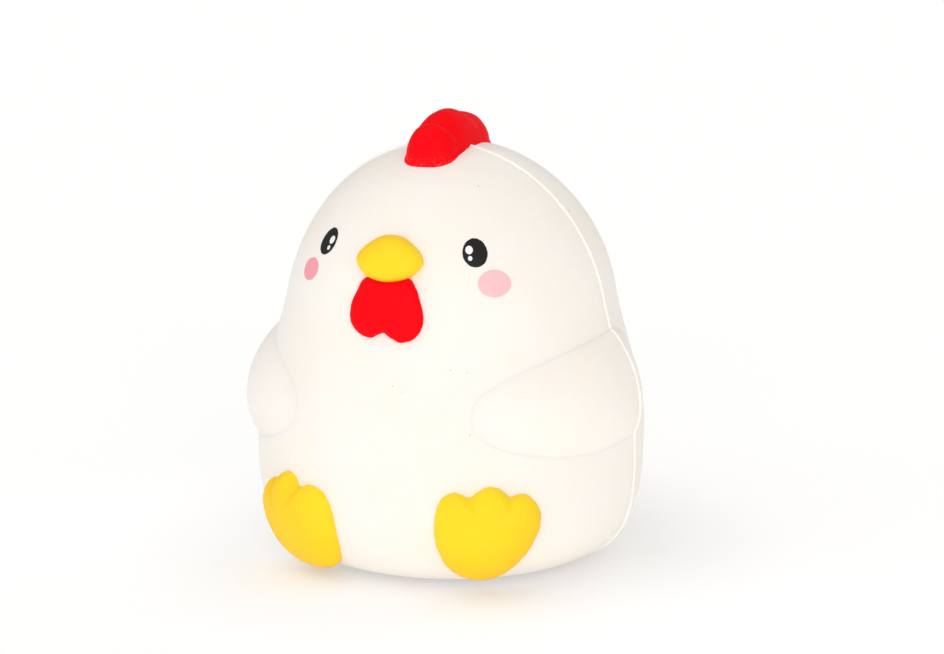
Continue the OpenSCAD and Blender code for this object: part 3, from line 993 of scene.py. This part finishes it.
class FOAM_CHICKEN_OT_feet(ChickenOperator):
    """Build both feet, each with three toes"""

    bl_idname = "foam_chicken.feet"
    bl_label = "Feet"

    # Outlines of points as: outwards from the foot's middle, height over the floor
    left_outline = [
        (-13.6, 19.6), (-12.6, 24.4), (-10.4, 27.4), (-7.4, 27.7), (-5, 25.8), (-3.4, 27.2),
        (-0.2, 29.2), (3.4, 28), (5.2, 25.6), (7.4, 26.6), (10, 26.4), (12.8, 23.4), (14, 19.4),
        (12.2, 13.4), (8.2, 7.8), (3, 4.6), (-2.8, 4.4), (-9, 6.6), (-13, 12.6)]
    right_outline = [
        (-9.6, 3.8), (-13, 5.8), (-14.6, 9), (-14.8, 13.6), (-14.6, 18), (-13.4, 22),
        (-11.6, 24.4), (-8.2, 25.5), (-4.8, 24.8), (-3.2, 23.4), (-2.6, 25.4), (-0.8, 27),
        (1.8, 27.1), (4.4, 25.8), (5.8, 23.4), (6.8, 22.8), (8, 24), (9.8, 23.4), (12.2, 20.8),
        (13, 17.6), (11.8, 12.6), (8.6, 7.2), (3.6, 3.8), (-3, 3)]
    # Each foot: side, outline, angle, middle height, its valleys as (outwards, top, depth),
    # how flat the pad is, and its painted shade: everywhere, outwards, downwards
    feet = {
        "left": (1, left_outline, 33.5, 17.0, [(-5, 26, 0.1), (5.2, 26, 0.1)], 3.4,
                 (0.14, 0.28, 0.6)),
        "right": (-1, right_outline, 29.0, 14.0, [(-3.3, 24, 0.9), (6.6, 23.4, 0.7)], 4.0,
                  (0.36, 0.22, 0.22)),
    }
    valley_width = 1.3
    valley_length = 9.0
    size = 13.0

    def build(self, body, sizes):
        for label, settings in self.feet.items():
            side, points, angle, middle_z, valleys, flatness, paint = settings
            all_over, outwards, downwards = paint
            local = np.array(points[::-1]) - [0, middle_z]
            outline = jittered(soften(local, 3), 0.22, 1.2, 31 + side)
            rise = self.relief(sizes.foot_out, middle_z, valleys, flatness)

            # Painted shade: more outwards and downwards, and strongest near the edge where the pad
            # turns from the light.
            def painted_shade(across, up, share):
                lean = outwards * across / self.size - downwards * up / self.size
                return np.clip(all_over + lean, 0, 1) * (0.45 + 0.55 * share ** 2)

            foot = pad(f"{label}_foot", outline, (0, 0), face_place(body, angle, middle_z, side),
                       rise, 34, 0.8, painted_shade)
            finish_piece(foot, FRONT, yellow_paint(), [f"foot_{label}"])

    def relief(self, foot_out, middle_z, valleys, flatness):
        """Relief of a foot, with a valley below each gap between its toes."""
        def rise(across, up, share):
            height = 0.2 + (foot_out - 0.2) * (1 - share ** flatness) ** 0.6
            for place, top, depth in valleys:
                below = np.clip((top - middle_z - up) / self.valley_length, 0, 1)
                spread = self.valley_width * (1 + 1.5 * below)
                narrowing = place * (1 - 0.3 * below)  # the valleys draw together downwards
                dip = np.exp(-((across - narrowing) / spread) ** 2) * (1 - below) ** 2
                height = height - depth * dip * np.minimum(1, height / foot_out)
            return height
        return rise


class FOAM_CHICKEN_OT_comb(ChickenOperator):
    """Build the three-lobed comb, cut at the seam"""

    bl_idname = "foam_chicken.comb"
    bl_label = "Comb"

    # Lobes as: middle y, half length, rise over the head, squareness
    lobes = [(-7.0, 4.1, 8.0, 2.4), (3.0, 9.0, 8.3, 2.3), (13.6, 6.4, 7.2, 2.4)]
    end_power = 5.0
    section_power = 0.95
    filling = 0.07    # how much squarer the comb's section is at a crease
    filling_reach = 1.2
    crease = 0.7      # softness of the creases between the lobes, mm
    pinch = 0.02      # share by which the comb is thinner at a crease
    flare = 0.45      # how far the foot of the comb runs out over the skin, mm
    flare_height = 0.6
    step = 0.1        # how much the front mould's half stands over the rear's at the seam, mm

    def build(self, body, sizes):
        start = self.lobes[0][0] - self.lobes[0][1]
        end = self.lobes[-1][0] + self.lobes[-1][1]
        for name, node, holder, free_end in (("front_comb", "comb_front", FRONT, start),
                                             ("rear_comb", "comb_rear", REAR, end)):
            piece = self.length(name, body, sizes, free_end, start, end)
            finish_piece(piece, holder, red_paint(), [node])

    def rise(self, y):
        """Rise of the comb's ridge over the head."""
        highest = np.zeros_like(y)
        for middle, half, height, power in self.lobes:
            share = np.clip(1 - np.abs((y - middle) / half) ** power, 0, 1)
            arch = height * share ** (1 / power)
            soft = self.crease * np.minimum(1, np.minimum(highest, arch))
            highest = (highest + arch + np.hypot(highest - arch, soft)) / 2
        return highest

    def half_thickness(self, y, thickness, start, end):
        """Half of the comb's thickness, which closes at both ends."""
        away = np.abs(y - (start + end) / 2) / ((end - start) / 2)
        half = thickness / 2 * np.clip(1 - away ** self.end_power, 0, 1) ** (1 / 2.4)
        return half * (1 - self.pinch * self.creased(y, 1.3))

    def creased(self, y, reach):
        """How near a place along the comb is to a crease, from 0 to 1."""
        near = np.zeros_like(y)
        for before, after in zip(self.lobes, self.lobes[1:]):
            gap = (before[0] + before[1] + after[0] - after[1]) / 2
            near = near + np.exp(-((y - gap) / reach) ** 2)
        return near

    def length(self, name, body, sizes, free_end, start, end):
        """The comb from one of its ends to the seam."""
        along = (1 - np.cos(np.linspace(0, math.pi / 2, 110)))[:, None]
        turns = np.linspace(0, math.pi, 91)[None, :]
        y = free_end + (SEAM_Y - free_end) * np.clip(along, 1e-4, 1) + 0 * turns
        mismatch = self.step / 2 * (1 if free_end == start else -1) * np.exp(-(y - SEAM_Y) ** 2 / 8)
        half = self.half_thickness(y, sizes.comb_thickness, start, end) + mismatch
        rise = self.rise(y) + mismatch
        side = np.sign(np.cos(turns))
        power = self.section_power - self.filling * self.creased(y, self.filling_reach)
        x = half * side * np.abs(np.cos(turns)) ** power
        height = rise * np.sin(turns) ** power
        ragged = 1 + 0.4 * unevenness(np.stack([x, y, height], axis=-1), 1.6, 8)
        x = x + side * self.flare * ragged * np.exp(-(height / self.flare_height) ** 2)
        dents = 0.12 * unevenness(np.stack([x, y, height], axis=-1), 3.0, 9)
        height = height + dents * np.minimum(1, height)
        top = np.stack([x, y, body.head_z(x, y) + 0.05 + height], axis=-1)
        under = np.stack([x, y, body.head_z(x, y) - 0.8], axis=-1)
        piece = slab(name, top, under, 60)
        self.set_overspray(piece, body, start)
        return piece

    def set_overspray(self, piece, body, start):
        """Stores at each point how near it is to the front foot of the comb."""
        spots = np.empty(len(piece.data.vertices) * 3)
        piece.data.vertices.foreach_get("co", spots)
        x, y, z = spots.reshape(-1, 3).T / MM
        over = z - body.head_z(x, y)
        store(piece, "paint_edge", np.exp(-(over / 1.8) ** 2 - ((y - start) / 5) ** 2))


# ---- Geometry node trees ------------------------------------------------


def geometry_tree(name, inputs):
    """A geometry node tree with a geometry in and out, and float or integer inputs."""
    group = bpy.data.node_groups.new(name, "GeometryNodeTree")
    group.interface.new_socket("Geometry", in_out="INPUT", socket_type="NodeSocketGeometry")
    for label, kind, default in inputs:
        socket = group.interface.new_socket(label, in_out="INPUT", socket_type=kind)
        socket.default_value = default
    group.interface.new_socket("Geometry", in_out="OUTPUT", socket_type="NodeSocketGeometry")
    return ends(group)


def run_tree(piece, group, values, name):
    """Runs a geometry tree on a piece and returns the result as a new plain object."""
    modifier = piece.modifiers.new("Tree", "NODES")
    modifier.node_group = group
    identifiers = {item.name: item.identifier for item in group.interface.items_tree
                   if item.item_type == "SOCKET" and item.in_out == "INPUT"}
    for label, value in values.items():
        modifier[identifiers[label]] = value
    graph = bpy.context.evaluated_depsgraph_get()
    mesh = bpy.data.meshes.new_from_object(piece.evaluated_get(graph))
    piece.modifiers.remove(modifier)
    mesh.name = name
    return placed(name, mesh)


def end_tree(tree, result, geometry, material):
    """Closes a geometry tree: real geometry with a material."""
    realize = tree.add("GeometryNodeRealizeInstances", {0: geometry})
    paint = tree.add("GeometryNodeSetMaterial",
                     {"Geometry": realize.outputs[0], "Material": material})
    tree.link(paint.outputs["Geometry"], result.inputs["Geometry"])


def flash_tree():
    """A ragged ridge swept along the seam's path."""
    group, tree, given, result = geometry_tree("Seam flash", [
        ("Width", "NodeSocketFloat", 0.0006),
        ("Raggedness", "NodeSocketFloat", 1.0),
        ("Raggedness scale", "NodeSocketFloat", 340.0)])
    curve = tree.add("GeometryNodeMeshToCurve", {"Mesh": given.outputs["Geometry"]})
    wobble = tree.add("ShaderNodeTexNoise",
                      {"Scale": given.outputs["Raggedness scale"], "Detail": 3.0})
    spread = tree.math("MULTIPLY", tree.math("SUBTRACT", wobble.outputs[0], 0.5),
                       given.outputs["Raggedness"])
    thickness = tree.math("ADD", spread, 1.0)
    section = tree.add("GeometryNodeCurvePrimitiveCircle", {
        "Resolution": 12, "Radius": tree.math("MULTIPLY", given.outputs["Width"], 0.5)})
    sweep = tree.add("GeometryNodeCurveToMesh", {
        "Curve": curve.outputs["Curve"], "Profile Curve": section.outputs["Curve"],
        "Scale": thickness, "Fill Caps": True})
    # The flash gets a lighter cream, a painted highlight along the ridge.
    end_tree(tree, result, sweep.outputs["Mesh"], cream_skin("Cream foam flash", 1.1))
    return group


def pinhole_tree():
    """Small flat dark pits, painted shadow of the pinholes, scattered over a surface."""
    group, tree, given, result = geometry_tree("Pinholes", [
        ("Width", "NodeSocketFloat", 0.0004),
        ("Density", "NodeSocketFloat", 2000.0),
        ("Seed", "NodeSocketInt", 1)])
    scatter = tree.add("GeometryNodeDistributePointsOnFaces", {
        "Mesh": given.outputs["Geometry"], "Density": given.outputs["Density"],
        "Seed": given.outputs["Seed"]})
    pit = tree.add("GeometryNodeMeshUVSphere", {
        "Segments": 8, "Rings": 5,
        "Radius": tree.math("MULTIPLY", given.outputs["Width"], 0.5)})
    flat = tree.add("GeometryNodeTransform",
                    {"Geometry": pit.outputs["Mesh"], "Scale": (1.0, 1.0, 0.25)})
    vary = tree.add("FunctionNodeRandomValue",
                    {2: 0.4, 3: 1.3, "Seed": given.outputs["Seed"]}, data_type="FLOAT")
    place = tree.add("GeometryNodeInstanceOnPoints", {
        "Points": scatter.outputs["Points"], "Rotation": scatter.outputs["Rotation"],
        "Instance": flat.outputs["Geometry"], "Scale": vary.outputs[1]})
    end_tree(tree, result, place.outputs["Instances"], dark_pore())
    return group


FLASH_LIFT = 0.32     # how far the middle of the flash lies over the body, mm


def seam_path(body, sizes, side):
    """Points along the seam on one side, from near the floor up to the comb."""
    comb_side = sizes.comb_thickness / 2 + 0.3
    lowest, highest = 1.2, float(body.head_z(comb_side, SEAM_Y))
    z = (lowest + highest) / 2 - (highest - lowest) / 2 * np.cos(np.linspace(0, math.pi, 260))
    y = SEAM_Y + 0.1
    across = (z - wing_mid_z(1.0, side)) / WING_HALF_HEIGHT
    beyond = np.maximum(0, np.abs(across) - 1) * WING_HALF_HEIGHT
    height = wing_rise(1.0, sizes.wing_out) * wing_cap(1 - across ** 2, 1.0)
    wing = np.maximum(0, soft_relief(height, beyond, 1.0))
    line = body.over(body.angle_at_y(y, z), z, wing + FLASH_LIFT)
    line[:, 1] = y
    return line * [side, 1, 1]


class FOAM_CHICKEN_OT_flash(ChickenOperator):
    """Build the ridge of flash along the seam"""

    bl_idname = "foam_chicken.flash"
    bl_label = "Seam flash"

    def build(self, body, sizes):
        lines = [seam_path(body, sizes, side) for side in (1, -1)]
        points = np.concatenate(lines) * MM
        count = len(lines[0])
        edges = [(k * count + i, k * count + i + 1) for k in range(2) for i in range(count - 1)]
        mesh = bpy.data.meshes.new("seam_path")
        mesh.from_pydata(points.tolist(), edges, [])
        path = placed("seam_path", mesh)
        flash = run_tree(path, flash_tree(), {"Width": sizes.flash_width * MM}, "seam_flash_piece")
        bpy.data.objects.remove(path)
        flash.data.shade_smooth()
        finish_piece(flash, REAR, None, ["seam_flash"])


class FOAM_CHICKEN_OT_pinholes(ChickenOperator):
    """Scatter pinholes over the skin"""

    bl_idname = "foam_chicken.pinholes"
    bl_label = "Pinholes"

    def build(self, body, sizes):
        for holder in (FRONT, REAR):
            surface = half_surface(body, holder == FRONT)[10:-10]
            rows, cols = surface.shape[:2]
            ground = mesh_object("ground", surface, grid_faces(rows, cols))
            values = {"Width": sizes.pinhole_width * MM, "Density": 2300.0,
                      "Seed": sizes.pinhole_seed + (holder == FRONT)}
            pits = run_tree(ground, pinhole_tree(), values, f"{holder}_pinholes")
            bpy.data.objects.remove(ground)
            finish_piece(pits, holder, None)


# ---- Stage --------------------------------------------------------------


def direction(azimuth, elevation):
    """Unit vector towards a place round the toy, in degrees from straight ahead."""
    a, e = math.radians(azimuth), math.radians(elevation)
    return Vector((math.sin(a) * math.cos(e), -math.cos(a) * math.cos(e), math.sin(e)))


class FOAM_CHICKEN_OT_stage(bpy.types.Operator):
    """Build the floor, the soft lights and the camera"""

    bl_idname = "foam_chicken.stage"
    bl_label = "Stage"
    bl_options = {"REGISTER"}

    azimuth = 25.5
    elevation = 13.25
    roll = 1.0
    distance = 0.561
    lens = 81.9
    shift = (0.0294, 0.0099)
    target = Vector((0, 0, 0.0561))
    floor_half = 6.0
    floor_shade = 0.6
    # The floor's glow everywhere, what more of it the toy shades, and from how far
    glow, shaded_glow, shading_reach = 0.275, 0.22, 0.045
    sky = 0.37
    sun_spread = 60.0
    # Each light: name, azimuth, elevation, strength, tint
    suns = [("Front light", 25.0, 10.0, 1.27, (1.0, 1.0, 1.0)),
            ("Right light", 70.0, 15.0, 0.54, (1.0, 0.955, 0.89)),
            ("Left light", -30.0, 15.0, 0.44, (1.0, 0.965, 0.93)),
            ("Top light", -60.0, 60.0, 0.78, (1.0, 1.0, 1.0)),
            ("Back light", 160.0, 35.0, 0.5, (1.0, 0.96, 0.9))]

    def execute(self, context):
        self.camera(context.scene)
        self.floor()
        self.world(context.scene)
        for settings in self.suns:
            self.sun(*settings)
        context.scene.view_settings.view_transform = "Standard"
        return {"FINISHED"}

    def camera(self, scene):
        data = bpy.data.cameras.new("Camera")
        data.lens = self.lens
        data.sensor_width = 36.0
        data.shift_x, data.shift_y = self.shift
        data.clip_start = 0.01
        camera = placed("Camera", data)
        back = direction(self.azimuth, self.elevation)
        turn = (-back).to_track_quat("-Z", "Y").to_matrix().to_4x4()
        tilt = Matrix.Rotation(math.radians(-self.roll), 4, "Z")
        camera.matrix_world = Matrix.Translation(self.target + back * self.distance) @ turn @ tilt
        scene.camera = camera

    def floor(self):
        mesh = bpy.data.meshes.new("floor")
        far = self.floor_half
        mesh.from_pydata([(-far, -far, 0), (far, -far, 0), (far, far, 0), (-far, far, 0)],
                         [], [(0, 1, 2, 3)])
        floor = placed("floor", mesh)
        material, tree, shader = new_material("Pale floor", 0.9, specular=0.0)
        shader.inputs["Base Color"].default_value = (*[self.floor_shade] * 3, 1.0)
        shader.inputs["Emission Color"].default_value = (1.0, 1.0, 1.0, 1.0)
        # A faint glow keeps the floor white far away, and fades where the toy shades it
        shaded = tree.add("ShaderNodeAmbientOcclusion", {"Distance": self.shading_reach},
                          samples=12)
        glow = tree.math("MULTIPLY", shaded.outputs["AO"], self.shaded_glow)
        tree.link(tree.math("ADD", glow, self.glow), shader.inputs["Emission Strength"])
        mesh.materials.append(material)

    def world(self, scene):
        world = bpy.data.worlds.new("Soft tent")
        world.use_nodes = True
        background = world.node_tree.nodes["Background"]
        background.inputs["Color"].default_value = (1.0, 1.0, 1.0, 1.0)
        background.inputs["Strength"].default_value = self.sky
        scene.world = world

    def sun(self, name, azimuth, elevation, strength, tint):
        """A broad, distant light, given by the direction that it comes from."""
        data = bpy.data.lights.new(name, "SUN")
        data.angle = math.radians(self.sun_spread)
        data.energy = strength
        data.color = tint
        light = placed(name, data)
        light.rotation_mode = "QUATERNION"
        light.rotation_quaternion = direction(azimuth, elevation).to_track_quat("Z", "Y")


class FOAM_CHICKEN_PT_panel(bpy.types.Panel):
    """Panel with the toy's settings and its pieces"""

    bl_idname = "FOAM_CHICKEN_PT_panel"
    bl_label = "Foam chicken"
    bl_space_type = "VIEW_3D"
    bl_region_type = "UI"
    bl_category = "Foam chicken"

    def draw(self, context):
        scene = context.scene
        for group in (scene.chicken_sizes, scene.chicken_colours):
            box = self.layout.box()
            for name in group.bl_rna.properties.keys():
                if name not in ("rna_type", "name"):
                    box.prop(group, name)
        for operator in STEPS:
            self.layout.operator(operator.bl_idname)


STEPS = [
    FOAM_CHICKEN_OT_stage,
    FOAM_CHICKEN_OT_skins,
    FOAM_CHICKEN_OT_core,
    FOAM_CHICKEN_OT_wings,
    FOAM_CHICKEN_OT_flash,
    FOAM_CHICKEN_OT_comb,
    FOAM_CHICKEN_OT_beak,
    FOAM_CHICKEN_OT_wattle,
    FOAM_CHICKEN_OT_eyes,
    FOAM_CHICKEN_OT_cheeks,
    FOAM_CHICKEN_OT_feet,
    FOAM_CHICKEN_OT_pinholes,
]
CLASSES = [ChickenSizes, ChickenColours, FOAM_CHICKEN_PT_panel, *STEPS]


def register():
    for cls in CLASSES:
        bpy.utils.register_class(cls)
    bpy.types.Scene.chicken_sizes = PointerProperty(type=ChickenSizes)
    bpy.types.Scene.chicken_colours = PointerProperty(type=ChickenColours)


def unregister():
    del bpy.types.Scene.chicken_colours
    del bpy.types.Scene.chicken_sizes
    for cls in reversed(CLASSES):
        bpy.utils.unregister_class(cls)


def main():
    register()
    for step in STEPS:
        group, name = step.bl_idname.split(".")
        getattr(getattr(bpy.ops, group), name)()
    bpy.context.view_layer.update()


if __name__ == "__main__":
    main()
